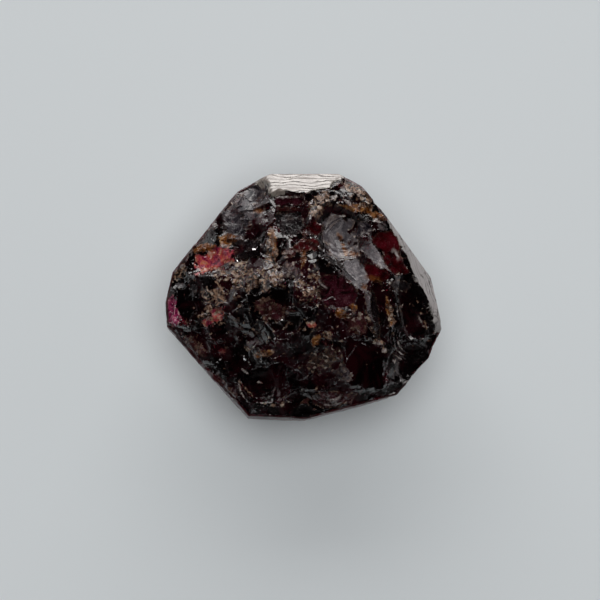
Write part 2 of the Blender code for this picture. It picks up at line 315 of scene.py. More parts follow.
# Flat natural faces, as on the solid: compass direction, lean, and the reach at a height
naturalFaces = (
    (90, -5, 13.95, 12.8), (114, -4, 14.2, 12.4), (141, -2, 13.4, 11.5), (166, -3, 15.1, 10.8),
    (183, 3, 15.75, 8.6), (222, 6, 13.95, 7.2), (-93, 7, 14.15, 7.4), (-75, 5, 13.65, 8.0),
    (-41, -7, 15.3, 11.5), (-22, -4, 15.8, 11.5), (12, -4, 14.6, 12.0), (38, -4, 12.8, 12.4),
    (60, -4, 14.05, 12.4), (60, -48, 12.6, 7.0), (150, -42, 12.9, 6.6), (205, -50, 13.6, 5.4),
    (268, -44, 12.8, 4.6), (-30, -46, 13.8, 5.6), (0, -90, 0, 0),
)
bevels = ((90, 52, 14.0, 12.9), (19, 47, 14.3, 12.3))

# Smooth shell-shaped hollows: place, half length, half width, turn, depth, radius, and the way
# and slope that the floor faces
scoops = {
    "scallop": (4.2, 6.5, 3.3, 2.2, 112, 1.3, 7, 85, 17),
    "wine hollow": (12.0, -2.0, 4.0, 1.4, 103, 1.25, 5, 5, 30),
    "ripple hollow": (11.4, -6.9, 2.2, 1.8, 50, 0.95, 9, -40, 34),
    "round pit": (-4.4, -9.4, 2.3, 2.0, 20, 1.25, 4, -100, 34),
    "pit notch": (-2.9, -8.4, 1.5, 0.9, 60, 0.9, 3, -120, 22),
    "pit step": (-6.3, -9.0, 1.2, 0.8, -50, 0.7, 2.5, -60, 20),
}
# Ripples in the hollows: where they start, first and last reach, their spacing and height, and
# the middle and half width of the way they spread
ripples = (
    (4.4, 7.4, 1.6, 3.6, 0.55, 0.035, -90, 80),
    (4.9, 6.7, 1.8, 2.7, 0.3, 0.07, 125, 45),
    (12.7, -4.3, 1.6, 3.4, 0.36, 0.05, -130, 70),
    (-4.6, -9.7, 1.2, 2.4, 0.5, 0.03, 180, 180),
    (2.6, -9.6, 1.4, 3.6, 0.5, 0.022, -80, 50),
    (4.6, 3.8, 2.4, 5.2, 0.32, 0.012, -112, 26),
)
# Flat facets of the break: corners in plan, the way and slope they face, how deep they sink,
# and how much of the hackle they keep
facets = {
    "red window": (
        ((7.6, 6.9), (8.9, 7.4), (9.8, 7.5), (10.7, 6.6), (10.8, 5.1), (11.8, 2.8), (10.1, 2.6),
         (9.5, 3.3), (9.0, 5.0), (7.7, 6.2)),
        -20, 12, 0.1, 0.15,
    ),
    "red wedge": (
        ((6.8, 4.0), (7.6, 3.9), (9.0, 3.0), (9.7, 2.5), (8.4, 1.7), (7.6, 1.7), (7.3, 2.4),
         (6.9, 3.2)),
        -60, 22, 0.15, 0.3,
    ),
    "tongue": (
        ((4.6, 4.3), (6.1, 4.4), (6.8, 3.3), (7.4, 1.9), (6.6, 0.8), (6.1, 1.0), (5.4, 1.7),
         (4.5, 2.5)),
        88, 19, 0.15, 0.05,
    ),
    "grey band": (
        ((7.4, 6.4), (8.5, 5.3), (9.8, 2.8), (8.8, 3.3), (7.6, 4.2), (6.6, 5.0), (6.3, 5.6)),
        80, 18, 0.0, 0.08,
    ),
    "purple facet": (
        ((6.1, 8.7), (7.2, 8.4), (7.9, 7.7), (6.6, 6.6), (5.8, 7.2)),
        -100, 10, 0.1, 0.4,
    ),
    "plum facet": (
        ((2.1, 2.6), (4.4, 2.4), (6.0, 0.6), (5.4, -1.2), (2.4, -1.0), (1.6, 0.6)),
        -20, 9, 0.1, 0.12,
    ),
    "window floor": (
        ((-3.2, 9.4), (-0.3, 9.6), (0.3, 7.6), (-0.6, 6.8), (-2.6, 7.2)),
        95, 15, 0.5, 0.1,
    ),
    "window ledge": (((-3.2, 11.2), (0.4, 11.4), (0.4, 10.4), (-3.0, 10.2)), -60, 10, 0.1, 0.2),
    "black facet": (
        ((5.0, -4.2), (8.9, -5.6), (9.2, -10.3), (6.8, -10.2), (4.4, -7.2)),
        -70, 16, 0.1, 0.12,
    ),
    "dark facet": (((4.4, -2.2), (6.6, -1.9), (8.1, -4.6), (5.2, -4.0)), -80, 10, 0.05, 0.2),
    "centre facet": (((-6.4, 0.2), (-2.0, 0.9), (-1.6, -2.2), (-5.6, -2.9)), -70, 14, 0.1, 0.3),
    "west facet": (((-9.6, -6.2), (-6.8, -5.0), (-5.4, -7.8), (-8.6, -9.0)), -130, 24, 0.1, 0.3),
    "magenta facet": (
        ((0.2, 8.1), (1.4, 8.5), (2.3, 8.0), (2.2, 7.0), (0.6, 6.8)),
        120, 9, 0.1, 0.3,
    ),
    "red facet": (((-1.4, 6.3), (1.8, 6.7), (2.0, 5.0), (-0.9, 4.8)), -80, 8, 0.1, 0.4),
    "black hollow": (((-7.9, 6.7), (-5.0, 6.6), (-4.7, 4.6), (-7.4, 4.3)), -90, 12, 0.3, 0.5),
    "west boss": (
        ((-14.4, 1.2), (-12.6, 0.9), (-12.1, -1.6), (-13.2, -3.0), (-14.3, -1.8)),
        -165, 16, 0.0, 0.2,
    ),
    "north west facet": (((-9.2, 10.0), (-6.8, 9.8), (-6.4, 6.8), (-8.4, 6.4)), 60, 20, 0.1, 0.45),
}
# Where the two bevels survive: corners in plan
bevelCorners = {
    "north bevel": (
        (-6.4, 12.7), (-5.6, 14.5), (5.2, 14.5), (4.6, 13.5), (3.1, 12.7), (3.2, 12.3),
        (0.95, 12.0), (0.3, 11.3), (-1.5, 11.5), (-3.6, 11.3), (-4.3, 12.2),
    ),
    "east strip": (
        (9.3, 8.9), (9.8, 8.0), (10.8, 6.2), (11.9, 4.0), (12.4, 2.2), (13.0, 0.6), (13.6, -1.0),
        (14.3, -2.6), (14.8, -4.6), (14.7, -5.6), (16.5, -5.0), (16.5, 3.0), (12.5, 7.5),
        (10.0, 9.5),
    ),
}
# Stains and colours of the break, with painted sheen and painted glints, as ovals in plan: place,
# half length, half width, turn, strength
patches = {
    "rose": (
        (-9.95, 4.3, 2.6, 1.25, 18, 1), (-9.7, -1.9, 0.9, 0.8, 0, 0.8),
        (-10.7, -2.7, 0.7, 0.5, 30, 0.7), (1.0, -3.0, 0.5, 0.3, 0, 0.7),
    ),
    # The slate marks are partly painted: dark mottling of the stone, with grey and pale flecks
    # painted as glints of the window on the north-west slope and small facets.
    "slate and painted glints": (
        (-6.8, 9.3, 3.0, 1.6, 50, 1), (-5.6, 12.0, 1.5, 0.9, 40, 1),
        (-11.2, 7.2, 2.4, 0.5, 50, 0.8), (-13.8, 4.2, 1.4, 0.5, 60, 0.8),
        (4.8, -8.2, 1.2, 1.2, 0, 0.8), (-1.5, 3.0, 1.0, 0.9, 0, 0.7),
        (7.2, -0.6, 1.8, 0.3, -80, 0.8),
    ),
    "black": (
        (7.9, -1.7, 2.9, 0.6, -82, 1), (11.0, 1.3, 1.5, 0.55, -12, 1), (-6.2, 5.6, 1.5, 1.0, 0, 1),
        (2.0, -7.0, 2.2, 1.2, 20, 0.6),
    ),
    "pink": ((-14.6, -1.8, 1.7, 0.85, 102, 1), (-15.1, -0.3, 0.8, 0.5, 90, 0.8)),
    "amber": (
        (-8.6, 6.4, 0.9, 0.8, 0, 1), (-11.2, 5.6, 1.1, 0.5, 10, 1), (-3.4, 6.3, 2.2, 0.45, 95, 0.9),
        (-5.0, 9.8, 0.5, 0.3, 0, 0.8), (6.1, 9.95, 1.6, 0.45, -5, 1), (8.35, 9.2, 1.4, 0.4, -20, 1),
        (0.0, 4.3, 1.2, 0.4, 80, 0.7), (4.2, -1.8, 0.6, 0.4, -10, 1), (5.6, -1.1, 0.4, 0.45, 0, 1),
        (9.6, -1.4, 1.5, 0.3, -80, 0.8), (4.5, 5.8, 1.4, 0.22, -70, 1),
        (5.4, 5.0, 0.6, 0.3, -20, 0.9), (8.0, 2.1, 0.9, 0.3, -20, 0.7),
        (6.8, 1.2, 0.4, 0.3, 0, 0.8), (-4.2, -6.2, 1.2, 0.35, 15, 0.8),
        (1.4, -4.6, 0.5, 0.6, 0, 0.9),
    ),
    "tan": (
        (-6.5, 2.4, 4.0, 1.6, -8, 1), (-14.1, 2.9, 1.4, 0.9, 60, 0.9),
        (-10.1, 0.2, 2.0, 0.8, -10, 0.9), (-3.3, 3.8, 2.6, 0.8, 95, 0.9),
        (1.8, 10.4, 1.5, 1.3, 60, 0.9), (6.3, 12.2, 2.6, 1.1, -48, 1.35),
        (9.9, -2.4, 2.2, 0.4, -80, 0.9), (2.8, -4.1, 0.9, 0.5, 0, 0.9),
        (-5.1, -6.0, 1.7, 0.5, -10, 0.8), (0.6, 1.4, 1.8, 2.0, 0, 0.8),
        (7.2, -2.2, 2.2, 0.14, -65, 0.9), (-2.0, -11.6, 0.8, 0.5, 40, 0.7),
        (8.6, -5.0, 1.1, 0.35, -30, 0.9), (-10.3, -1.6, 2.2, 0.9, 30, 0.7),
        (0.2, -2.8, 2.0, 0.5, -20, 0.6), (-5.9, -11.0, 1.9, 0.16, -50, 1),
        (-4.2, -12.0, 2.2, 0.14, -8, 1), (13.3, -1.4, 2.4, 0.2, -72, 0.7),
        (10.4, 8.6, 1.6, 0.3, -50, 0.7),
    ),
    "deep red": (
        (0.9, 7.5, 1.5, 0.5, 12, 1), (0.3, 5.8, 1.6, 0.8, 10, 0.9), (-2.0, 9.95, 1.6, 0.16, 0, 0.9),
        (-1.5, 4.9, 0.9, 0.5, 0, 0.6), (4.4, 12.55, 0.8, 0.28, -15, 1),
        (-9.1, -6.0, 0.6, 0.3, 0, 0.8), (-8.6, 8.8, 1.3, 0.3, 55, 0.7),
    ),
    "plum": (
        (-9.3, -9.7, 2.6, 0.35, -41, 1), (-3.6, -1.2, 2.0, 1.2, -10, 0.8),
        (6.2, -3.0, 1.5, 1.0, -30, 0.8), (3.2, -11.5, 2.6, 1.0, 5, 0.9),
        (-12.2, -5.6, 1.8, 0.8, -45, 0.7),
    ),
    # The pale marks are mostly painted glints: white flecks and streaks where small facets catch
    # the window.
    "pale": (
        (8.3, 8.5, 0.45, 0.18, -20, 1), (3.4, 11.2, 0.7, 0.2, 20, 0.9),
        (4.9, 10.7, 0.5, 0.2, -30, 0.9), (5.3, 12.9, 0.5, 0.25, -20, 0.8),
        (-6.9, -8.0, 0.7, 0.09, -35, 1), (-6.6, -8.35, 0.6, 0.12, -35, 1),
        (-7.3, -7.75, 0.4, 0.07, -30, 0.9), (8.4, -5.0, 0.6, 0.2, -20, 1),
        (9.1, -5.9, 0.3, 0.3, 0, 0.8), (10.6, -7.3, 0.5, 0.12, -25, 0.9),
        (-1.5, 11.3, 1.7, 0.1, 2, 0.8), (-13.6, 3.6, 0.3, 0.2, 0, 0.9),
        (-10.6, -2.2, 0.4, 0.2, 50, 0.8), (7.0, 7.8, 0.9, 0.06, -25, 1),
        (6.5, 7.1, 0.9, 0.06, 55, 1), (3.2, 9.0, 0.6, 0.14, 40, 1), (2.9, 8.4, 0.5, 0.1, 55, 0.9),
        (13.4, -2.8, 0.9, 0.07, -65, 0.9), (-5.0, -9.6, 0.25, 0.12, -30, 0.9),
    ),
    # The sheen is painted: grey on the scallop, tongue and grey band that stands in for the room's
    # reflection.
    "painted sheen": ((4.0, 6.9, 2.6, 1.75, 105, 1), (-1.5, 8.2, 1.2, 0.8, 0, 0.3)),
}
# Bright arcs, partly pale chipped rims and partly painted glints: middle, radius, width, and the
# middle and half width of the way they face
arcs = (
    (4.9, 6.7, 2.55, 0.07, 118, 34), (5.0, 6.6, 2.85, 0.05, 128, 22),
    (4.9, 6.6, 2.25, 0.05, 130, 25), (12.7, -4.3, 2.1, 0.02, -150, 22),
    (12.7, -4.3, 2.6, 0.03, -136, 20), (12.7, -4.3, 3.1, 0.02, -128, 14),
    (-4.6, -9.7, 2.6, 0.05, -165, 35), (3.1, -10.0, 1.5, 0.05, -70, 40),
    (3.1, -10.0, 2.1, 0.05, -85, 30), (8.6, 1.0, 3.2, 0.04, -45, 14),
    (3.4, 2.6, 1.7, 0.05, -140, 30), (9.7, 4.6, 0.9, 0.06, 20, 60),
)
# Facets of one colour. Where it is empty, the stains are kept off the facet.
facetColours = {
    # The tongue and the grey band take the painted sheen, a grey that stands for a reflection.
    "red window": "deep red", "red wedge": "deep red", "tongue": "painted sheen", "grey band": "painted sheen",
    "plum facet": "plum", "black facet": "", "black hollow": "black", "magenta facet": "deep red",
    # The north-west and purple facets take the slate marks, which are partly painted glints.
    "window ledge": "plum", "north west facet": "slate and painted glints", "window floor": "black",
    "purple facet": "slate and painted glints",
}


def copyOfCad():
    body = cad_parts["garnet_crystal"].copy()
    body.data = body.data.copy()
    body.name = "garnet"
    bpy.context.collection.objects.link(body)
    body.data.transform(Matrix.Scale(1 / mm, 4))
    makeActive(body)
    bpy.ops.object.mode_set(mode="EDIT")
    bpy.ops.mesh.select_all(action="SELECT")
    bpy.ops.mesh.remove_doubles(threshold=stone["mergeDistance"])
    bpy.ops.object.mode_set(mode="OBJECT")
    return body


def applyModifier(body, kind, **settings):
    makeActive(body)
    modifier = body.modifiers.new(kind.lower(), kind)
    for name, value in settings.items():
        setattr(modifier, name, value)
    bpy.ops.object.modifier_apply(modifier=modifier.name)


def cutScoop(body, x, y, halfLength, halfWidth, turn, depth, radius, compass, slope):
    point = body.ray_cast(Vector((x, y, 60)), Vector((0, 0, -1)))[1]
    normal = direction(compass, 90 - slope)
    inside = math.sqrt(1 - (1 - depth / radius) ** 2)
    deselectAll()
    bpy.ops.mesh.primitive_ico_sphere_add(subdivisions=6, radius=1)
    egg = bpy.context.object
    spin = Matrix.Rotation(math.radians(turn), 4, "Z")
    lean = Vector((0, 0, 1)).rotation_difference(normal).to_matrix().to_4x4()
    size = Matrix.Diagonal((halfLength / inside, halfWidth / inside, radius, 1))
    egg.data.transform(Matrix.Translation(point + normal * (radius - depth)) @ lean @ spin @ size)
    applyModifier(body, "BOOLEAN", object=egg, operation="DIFFERENCE", solver="MANIFOLD")
    bpy.data.objects.remove(egg)


def readVerts(mesh):
    count = len(mesh.vertices)
    places, normals = np.empty(count * 3), np.empty(count * 3)
    mesh.vertices.foreach_get("co", places)
    mesh.vertex_normals.foreach_get("vector", normals)
    return places.reshape(-1, 3), normals.reshape(-1, 3)


def writeVerts(mesh, places):
    mesh.vertices.foreach_set("co", places.ravel())
    mesh.update()


def smoothStep(low, high, value):
    t = np.clip((value - low) / (high - low), 0, 1)
    return t * t * (3 - 2 * t)


def noiseOver(places, size, octaves=2, shift=0.0):
    scaled = places / size + shift
    return np.array([noise.fractal(p, 0.8, 2.0, octaves) for p in map(Vector, scaled)])


def edgeWaver(places):
    return noiseOver(places, stone["waverSize"], 3) * stone["waver"]


def shiftInPlan(places, waver):
    return places + np.stack((waver, waver, waver * 0), 1) * 0.4


def ragged(places):  # the points shifted in plan, so that the outlines of facets wander
    wide, narrow = stone["raggedSizes"]
    coarse, fine = noiseOver(places, wide, 2, 5.5), noiseOver(places, narrow, 2, 8.8)
    shift = np.stack((coarse + 0.4 * fine, 0.4 * fine - coarse, coarse * 0), 1)
    return places + shift * stone["ragged"]


def underFace(places, face):  # the way a flat face looks, and how deep each point lies under it
    compass, lean, reach, height = face
    facing = np.array(direction(compass, lean))
    out = np.array(direction(compass, 0)) * reach + (0, 0, height)
    return facing, (out - places) @ facing


def faceAmount(places, normals, faces):  # 1 on the flat faces given, 0 away from them
    amount = np.zeros(len(places))
    for face in faces:
        facing, below = underFace(places, face)
        near = 1 - smoothStep(stone["naturalDepth"] * 0.7, stone["naturalDepth"], below)
        amount = np.maximum(amount, near * smoothStep(-0.3, 0.1, normals @ facing))
    return amount


def keepInside(places, chosen, faces, spare):  # brings points back to the faces they stick out of
    for face in faces:
        facing, below = underFace(places, face)
        over = np.where(chosen, -below - spare, 0)
        places -= facing * np.maximum(over, 0)[:, None]


def ovalAmount(places, ovals, waver):
    amount = np.zeros(len(places))
    for x, y, halfLength, halfWidth, turn, strength in ovals:
        a = math.radians(turn)
        dx, dy = places[:, 0] - x, places[:, 1] - y
        along = (dx * math.cos(a) + dy * math.sin(a)) / halfLength
        across = (dy * math.cos(a) - dx * math.sin(a)) / halfWidth
        far = np.sqrt(along ** 2 + across ** 2) + waver
        amount = np.maximum(amount, strength * (1 - smoothStep(0.75, 1.2, far)))
    return amount


def fanDistance(places, x, y, heading):  # how far from a middle, and degrees aside from a heading
    reach = np.hypot(places[:, 0] - x, places[:, 1] - y)
    turn = np.degrees(np.arctan2(places[:, 1] - y, places[:, 0] - x)) - heading
    return reach, np.abs((turn + 180) % 360 - 180)


def insideCorners(places, corners):  # how far inside a shape drawn in plan, negative outside
    x, y = places[:, 0], places[:, 1]
    inside = np.zeros(len(places), bool)
    nearest = np.full(len(places), 1e9)
    for (ax, ay), (bx, by) in zip(corners, corners[1:] + corners[:1]):
        wide, deep = bx - ax, by - ay
        crosses = (ay > y) != (by > y)
        at = ax + (y - ay) * wide / (deep or 1e-9)
        inside ^= crosses & (x < at)
        share = np.clip(((x - ax) * wide + (y - ay) * deep) / (wide ** 2 + deep ** 2), 0, 1)
        nearest = np.minimum(nearest, np.hypot(x - ax - share * wide, y - ay - share * deep))
    return np.where(inside, nearest, -nearest)


def loosen(places, normals):  # wanders the edges of hollows and notches, so none is too regular
    natural = faceAmount(places, normals, naturalFaces + bevels)
    length, width = stone["wanderWithin"]
    inner = np.hypot(places[:, 0] / length, places[:, 1] / width)
    amount = (1 - natural) * (1 - smoothStep(0.85, 1.0, inner)) * stone["wander"]
    for axis in (0, 1):
        places[:, axis] += noiseOver(places, stone["wanderSize"], 1, 11.0 + 5 * axis) * amount


def flattenFacets(places, normals):  # lays the facets down, and returns each one's share
    shares = {}
    top = smoothStep(0.1, 0.3, normals[:, 2])
    shifted = ragged(places)
    for name, (corners, compass, slope, sink, _) in facets.items():
        depth = insideCorners(shifted, corners)
        share = smoothStep(-stone["facetEdge"], stone["facetEdge"], depth) * top
        core = (depth > 0.3) & (top > 0.5)
        middle = places[core].mean(0)
        way = np.array(direction(compass, 0))
        plane = middle[2] - sink - math.tan(math.radians(slope)) * ((places - middle) @ way)
        places[:, 2] += (plane - places[:, 2]) * share
        shares[name] = share
    return shares


def layBevels(places, normals, waver):  # lays the points under the bevels on their planes
    whole = np.zeros(len(places))
    wavered = shiftInPlan(places, waver)
    for corners, face in zip(bevelCorners.values(), bevels):
        facing, below = underFace(places, face)
        depth = insideCorners(wavered, corners)
        share = smoothStep(-stone["bevelEdge"], stone["bevelEdge"], depth)
        share *= smoothStep(-0.3, 0.0, normals[:, 2])
        share *= 1 - smoothStep(*stone["bevelRounding"], below)
        places += facing * (below * share)[:, None]
        whole = np.maximum(whole, share)
    keepInside(places, whole > 0, naturalFaces + bevels, 0.0)
    return whole


def smoothAmount(places, waver, shares):  # 1 on the floors of hollows and on flat facets
    smooth = np.zeros(len(places))
    for x, y, halfLength, halfWidth, turn, *_ in scoops.values():
        hollow = ovalAmount(places, ((x, y, halfLength, halfWidth, turn, 1),), waver * 0.2)
        smooth = np.maximum(smooth, stone["hollowSmoothness"] * hollow)
    for name, share in shares.items():
        smooth = np.maximum(smooth, share * (1 - facets[name][4]))
    return smooth


def hackleHeight(places, size, slant, step):  # angular facets, each with its own slant and level
    heights = np.empty(len(places))
    for i, p in enumerate(map(Vector, places / size)):
        near = noise.voronoi(p)[1][0]
        own = noise.cell_vector(near * 7.3)
        lean = own * 2 - Vector((1, 1, 1))
        heights[i] = (p - near).dot(lean) * slant * size + (own.z - 0.5) * step
    return heights


def addRipples(heights, places, waver, broken, upper):
    for x, y, near, far, spacing, rise, heading, spread in ripples:
        reach, aside = fanDistance(places, x, y, heading)
        reach = reach + waver * 0.3
        band = smoothStep(near, near + 0.3, reach) * (1 - smoothStep(far - 0.3, far, reach))
        band = band * broken * upper * (1 - smoothStep(spread * 0.8, spread * 1.1 + 1, aside))
        heights += np.sin(reach / spacing * math.tau) * rise * band


def shapeStone(body):
    places, normals = readVerts(body.data)
    loosen(places, normals)
    waver = edgeWaver(places)
    shares = flattenFacets(places, normals)
    bevel = layBevels(places, normals, waver)
    writeVerts(body.data, places)

    places, normals = readVerts(body.data)
    natural = np.maximum(faceAmount(places, normals, naturalFaces), bevel)
    broken = 1 - natural
    rough = broken * (1 - smoothAmount(places, waver, shares))
    heights = np.zeros(len(places))
    for size, slant, step in stone["hackle"]:
        heights += hackleHeight(places + waver[:, None] * 0.3, size, slant, step) * rough
    grain = noiseOver(places, stone["grainSize"], 2, 7.3) * stone["grainRise"]
    heights += grain * (0.3 + 0.7 * rough)
    tan = ovalAmount(places, patches["tan"], waver) * broken
    heights += np.abs(noiseOver(places, stone["gritSize"], 3, 3.1)) * stone["gritRise"] * tan
    addRipples(heights, places, waver, broken, smoothStep(0.1, 0.4, normals[:, 2]))
    stria = noiseOver(places * stone["striaStretch"], 1.0, 3)
    heights += stria * stone["striaRise"] * natural
    dents = np.maximum(noiseOver(places, stone["dentSize"], 3, 21.0) - 0.25, 0)
    heights -= dents * stone["dentDepth"] * natural * (1 - bevel)

    moved = places + normals * (heights - stone["drawnIn"])[:, None]
    keepInside(moved, broken > 0.02, naturalFaces, 0.03)
    low, high = (np.array(corner) / mm for corner in cadBox)
    writeVerts(body.data, np.clip(moved, low, high))


def markArcs(places, wide):  # bright along an arc: partly a pale chipped rim, partly a painted glint
    pale = np.zeros(len(places))
    for x, y, radius, width, heading, spread in arcs:
        reach, aside = fanDistance(places, x, y, heading)
        off = np.abs(reach + 0.25 * wide - radius)
        near = 1 - smoothStep(width, width + 0.09, off)
        pale = np.maximum(pale, near * (1 - smoothStep(spread * 0.5, spread, aside)))
    return pale


def markFacets(marks, places, share):  # gives the facets their colours, and returns where they lie
    shifted = ragged(places)
    flat = np.zeros(len(places))
    for name, colour in facetColours.items():
        depth = insideCorners(shifted, facets[name][0])
        inside = smoothStep(-stone["facetEdge"], stone["facetEdge"], depth) * share
        for other in patches:
            if other not in ("amber", "pale"):
                marks[other] = marks[other] * (1 - inside * (other != colour) * 0.9)
        if colour:
            marks[colour] = np.maximum(marks[colour], inside)
        flat = np.maximum(flat, inside)
    return flat


def markStone(body):  # marks where each stain, painted sheen and painted glint lies, and gives every face its finish
    places, normals = readVerts(body.data)
    wide = edgeWaver(places)
    waver = wide + noiseOver(places, stone["fineWaverSize"], 2) * stone["fineWaver"]
    wavered = shiftInPlan(places, wide)
    natural = faceAmount(places, normals, naturalFaces)
    kept = {}
    for (name, corners), face in zip(bevelCorners.items(), bevels):
        facing, below = underFace(places, face)
        on = (below + waver < stone["bevelReach"]) * (normals @ facing > 0.35)
        on = on * (normals[:, 2] > 0.25)  # keeps it off the girdle
        depth = insideCorners(wavered, corners)
        kept[name] = smoothStep(-stone["bevelEdge"], stone["bevelEdge"], depth) * on
    bevel = np.maximum(kept["north bevel"], kept["east strip"])
    broken = 1 - np.maximum(natural, bevel)
    top = broken * smoothStep(-0.1, 0.3, normals[:, 2])

    marks = {"east strip": kept["east strip"]}
    for name, ovals in patches.items():
        marks[name] = ovalAmount(places, ovals, waver) * top
    # The arcs add painted glints, and some pale rims, to the pale marks.
    marks["pale"] = np.maximum(marks["pale"], markArcs(places, wide) * top)
    crumbs = noiseOver(places, stone["crumbSize"], 3, 2.2)
    marks["tan"] = smoothStep(0.42, 0.56, marks["tan"] * (0.62 + 0.9 * crumbs))
    flat = markFacets(marks, places, top)
    gritty = ovalAmount(places, stone["specked"], waver) * broken - 0.8 * flat
    grains = noiseOver(places, stone["speckSize"], 2, 4.4) - 0.62 + 0.22 * gritty
    marks["specks"] = smoothStep(0.0, 0.08, grains) * broken
    for name, amount in marks.items():
        layer = body.data.attributes.new(name, "FLOAT", "POINT")
        layer.data.foreach_set("value", amount)

    # Faces under stains and under the painted sheen and glints take the crust finish.
    stainsAndPaintedSheen = np.maximum.reduce([marks[name] for name in (*patches, "specks")])
    corners = np.empty(len(body.data.loops), np.int32)
    body.data.loops.foreach_get("vertex_index", corners)
    corners = corners.reshape(-1, 3)
    bevel, natural, stainsAndPaintedSheen = (amount[corners].mean(1) for amount in (bevel, natural, stainsAndPaintedSheen))
    finish = np.select([bevel > 0.5, natural > 0.5, stainsAndPaintedSheen > 0.45], [2, 3, 1], 0)
    body.data.polygons.foreach_set("material_index", finish.astype(np.int32))


# Finishes. The garnet and the girdle faces are see-through, the other two are not.
look = {
    "refraction": 1.77,
    "absorbed": (0.86, 0.03, 0.34, 1),
    "density": 1500.0,
    "clarity": 0.988,
    "shine": 0.38,
    "tint": (0.95, 0.1, 0.2, 1),
    "smokyTint": (0.1, 0.05, 0.06, 1),
    "smokeScale": 260.0,
    "hazeScale": 1100.0,
    "glassRoughness": (0.02, 0.16),  # from the clearest parts to the haziest
    "chipScale": 3000.0,
    "chipRelief": (0.2, 0.00012),  # strength and depth of the bumps
    "girdleClarity": 0.93,
    "girdleShine": 0.3,
    "girdleColour": (0.55, 0.04, 0.07, 1),
    "girdleShade": (0.2, 0.02, 0.03, 1),
    "girdleScale": 330.0,
    "girdleRoughness": (0.22, 0.5),
    "girdleRelief": (0.2, 0.00012),
    "dustColour": (0.7, 0.5, 0.42, 1),
    "dustScale": 1500.0,
    "lineColour": (0.02, 0.012, 0.012, 1),
    "paleGrain": (0.42, 0.34, 0.27, 1),
    "poolScale": 420.0,
    "stainScale": 1100.0,
    "polishScale": 3200.0,
    "stainRoughness": (0.05, 0.3),
    "gritRoughness": (0.4, 0.4, 0.4, 1),
    "crustRelief": (0.35, 0.00015),
    # The bevel and strip colours are pale partly as worn skin and partly as painted glare of the
    # window.
    "bevelSkinAndPaintedGlare": (0.24, 0.21, 0.18, 1),
    "bevelShade": (0.13, 0.1, 0.085, 1),
    "stripSkinAndPaintedGlare": (0.26, 0.245, 0.24, 1),
    "bevelScale": 700.0,
    "bevelRoughness": (0.22, 0.5),
    "bevelRelief": (0.5, 0.0001),
    "skinShine": 1.8,
    "skinRoughness": 0.14,
}
# The pattern that each stain, painted sheen and painted glint follows, and its shades along it.
# Later stains cover earlier ones.
shades = {
    "specks": (
        "grains",
        (
            (0.0, (0.03, 0.014, 0.01)), (0.4, (0.08, 0.04, 0.026)), (0.65, (0.2, 0.13, 0.09)),
            (0.82, (0.07, 0.02, 0.02)), (0.93, (0.45, 0.37, 0.31)),
        ),
    ),
    "black": (
        "clouds",
        (
            (0.35, (0.002, 0.0015, 0.0018)), (0.52, (0.007, 0.004, 0.005)),
            (0.62, (0.02, 0.014, 0.015)), (0.7, (0.06, 0.045, 0.042)),
        ),
    ),
    # Slate: near-black and wine shades of the stone, with grey and pale shades that are painted
    # glints.
    "slate and painted glints": (
        "clouds",
        (
            (0.36, (0.004, 0.003, 0.005)), (0.46, (0.022, 0.017, 0.022)),
            (0.56, (0.068, 0.058, 0.062)), (0.64, (0.045, 0.014, 0.02)), (0.7, (0.3, 0.26, 0.26)),
        ),
    ),
    # The sheen is painted: greys that stand in for the room reflected in the smooth hollows.
    "painted sheen": (
        "clouds",
        (
            (0.36, (0.05, 0.044, 0.049)), (0.5, (0.1, 0.09, 0.097)), (0.6, (0.155, 0.14, 0.145)),
            (0.68, (0.3, 0.275, 0.27)),
        ),
    ),
    "plum": (
        "clouds",
        (
            (0.38, (0.003, 0.0006, 0.001)), (0.5, (0.018, 0.002, 0.004)),
            (0.6, (0.034, 0.005, 0.01)), (0.7, (0.06, 0.02, 0.025)),
        ),
    ),
    "deep red": (
        "pools",
        (
            (0.4, (0.008, 0.0004, 0.0006)), (0.52, (0.038, 0.001, 0.0025)),
            (0.64, (0.082, 0.003, 0.008)),
        ),
    ),
    "rose": (
        "clouds",
        (
            (0.34, (0.06, 0.002, 0.01)), (0.44, (0.2, 0.01, 0.04)), (0.52, (0.34, 0.045, 0.05)),
            (0.6, (0.36, 0.1, 0.045)), (0.7, (0.6, 0.38, 0.34)),
        ),
    ),
    "pink": (
        "clouds",
        ((0.35, (0.03, 0.001, 0.008)), (0.5, (0.2, 0.008, 0.06)), (0.68, (0.34, 0.12, 0.16))),
    ),
    "amber": (
        "clouds",
        (
            (0.36, (0.012, 0.004, 0.002)), (0.46, (0.08, 0.022, 0.004)),
            (0.55, (0.17, 0.06, 0.012)), (0.66, (0.3, 0.17, 0.07)),
        ),
    ),
    # Pale: whitish shades, mostly painted glints.
    "pale": (
        "clouds",
        ((0.36, (0.07, 0.05, 0.05)), (0.5, (0.22, 0.19, 0.18)), (0.62, (0.55, 0.52, 0.5))),
    ),
    "tan": (
        "web",
        (
            (0.0, (0.3, 0.205, 0.135)), (0.09, (0.18, 0.095, 0.058)), (0.2, (0.055, 0.023, 0.015)),
            (0.34, (0.006, 0.004, 0.0035)), (0.7, (0.003, 0.002, 0.002)),
        ),
    ),
}


def newMaterial(name):
    material = bpy.data.materials.new(name)
    material.use_nodes = True
    surface = material.node_tree.nodes["Principled BSDF"]
    surface.inputs["IOR"].default_value = look["refraction"]
    return material, surface, material.node_tree.nodes, material.node_tree.links


def newGroup(name, entries, leaves):
    group = bpy.data.node_groups.new(name, "ShaderNodeTree")
    for label, value in entries.items():
        socket = group.interface.new_socket(label, in_out="INPUT", socket_type="NodeSocketFloat")
        socket.default_value = value
    for label in leaves:
        group.interface.new_socket(label, in_out="OUTPUT", socket_type="NodeSocketFloat")
    return group, group.nodes.new("NodeGroupInput"), group.nodes.new("NodeGroupOutput")


